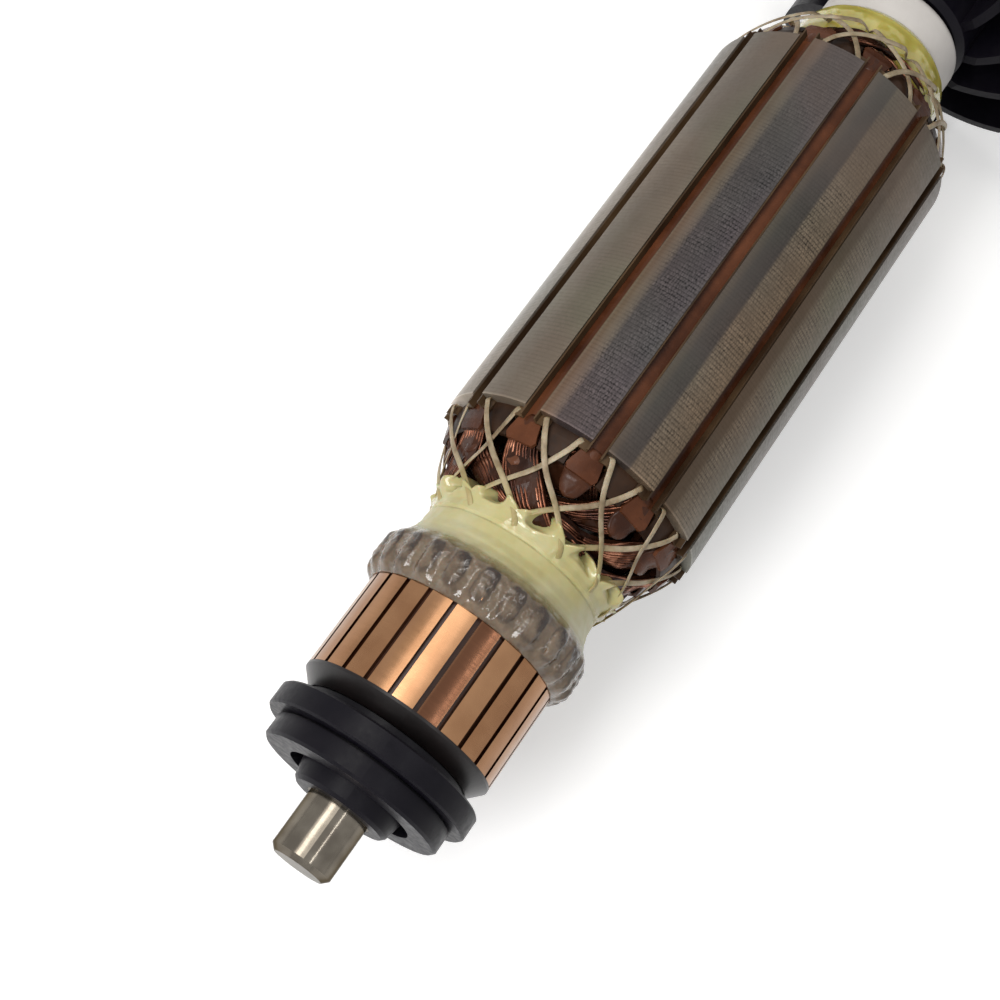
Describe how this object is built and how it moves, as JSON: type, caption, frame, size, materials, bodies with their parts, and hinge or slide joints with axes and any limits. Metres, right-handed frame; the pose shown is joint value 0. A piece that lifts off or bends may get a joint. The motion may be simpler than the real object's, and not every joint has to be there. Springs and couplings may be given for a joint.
{
  "type": "motor armature",
  "caption": "Wound armature of a universal motor: laminated slotted core with copper coils, hook commutator, resin neck, dust seal and cooling fan on one steel shaft.",
  "frame": {"origin": "middle of the commutator-end bearing journal, on the shaft's axis", "axes": "+X along the shaft from the commutator end to the drive end; +Z radial through the middle of one slot; Y completes a right-handed frame"},
  "size_m": [0.1999, 0.056, 0.056],
  "materials": {
    "shaft_steel": "ground bright steel",
    "lamination_steel": "turned edges of stacked sheet steel",
    "commutator_copper": "turned copper, satin",
    "enamelled_copper": "varnished enamelled copper wire",
    "black_plastic": "satin black moulding",
    "brown_moulding": "dark phenolic moulding",
    "cream_resin": "glossy cast resin",
    "yellow_resin": "glossy cast resin",
    "white_plastic": "white moulding",
    "brown_fibre": "vulcanised fibre",
    "wedge_fibre": "red-brown fibre strip",
    "insulating_paper": "insulating paper",
    "lacing_cord": "varnished cord"
  },
  "bodies": {
    "root": {"shaft": "shaft_steel", "dust_seal": "black_plastic", "commutator_body": "brown_moulding", "neck_resin": "cream_resin", "shaft_sleeve": "white_plastic", "core_stack": "lamination_steel", "front_end_plate": "brown_fibre", "rear_end_plate": "brown_fibre", "slot_liners": "insulating_paper", "lacing": "lacing_cord", "rear_resin": "yellow_resin", "fan": "black_plastic", "commutator_bar_01": "commutator_copper", "commutator_bar_02": "commutator_copper", "commutator_bar_03": "commutator_copper", "commutator_bar_04": "commutator_copper", "commutator_bar_05": "commutator_copper", "commutator_bar_06": "commutator_copper", "commutator_bar_07": "commutator_copper", "commutator_bar_08": "commutator_copper", "commutator_bar_09": "commutator_copper", "commutator_bar_10": "commutator_copper", "commutator_bar_11": "commutator_copper", "commutator_bar_12": "commutator_copper", "commutator_bar_13": "commutator_copper", "commutator_bar_14": "commutator_copper", "commutator_bar_15": "commutator_copper", "commutator_bar_16": "commutator_copper", "commutator_bar_17": "commutator_copper", "commutator_bar_18": "commutator_copper", "commutator_bar_19": "commutator_copper", "commutator_bar_20": "commutator_copper", "commutator_bar_21": "commutator_copper", "commutator_bar_22": "commutator_copper", "commutator_bar_23": "commutator_copper", "commutator_bar_24": "commutator_copper", "slot_wedge_01": "wedge_fibre", "slot_wedge_02": "wedge_fibre", "slot_wedge_03": "wedge_fibre", "slot_wedge_04": "wedge_fibre", "slot_wedge_05": "wedge_fibre", "slot_wedge_06": "wedge_fibre", "slot_wedge_07": "wedge_fibre", "slot_wedge_08": "wedge_fibre", "slot_wedge_09": "wedge_fibre", "slot_wedge_10": "wedge_fibre", "slot_wedge_11": "wedge_fibre", "slot_wedge_12": "wedge_fibre", "coil_01": "enamelled_copper", "coil_02": "enamelled_copper", "coil_03": "enamelled_copper", "coil_04": "enamelled_copper", "coil_05": "enamelled_copper", "coil_06": "enamelled_copper", "coil_07": "enamelled_copper", "coil_08": "enamelled_copper", "coil_09": "enamelled_copper", "coil_10": "enamelled_copper", "coil_11": "enamelled_copper", "coil_12": "enamelled_copper"}
  },
  "joints": []
}
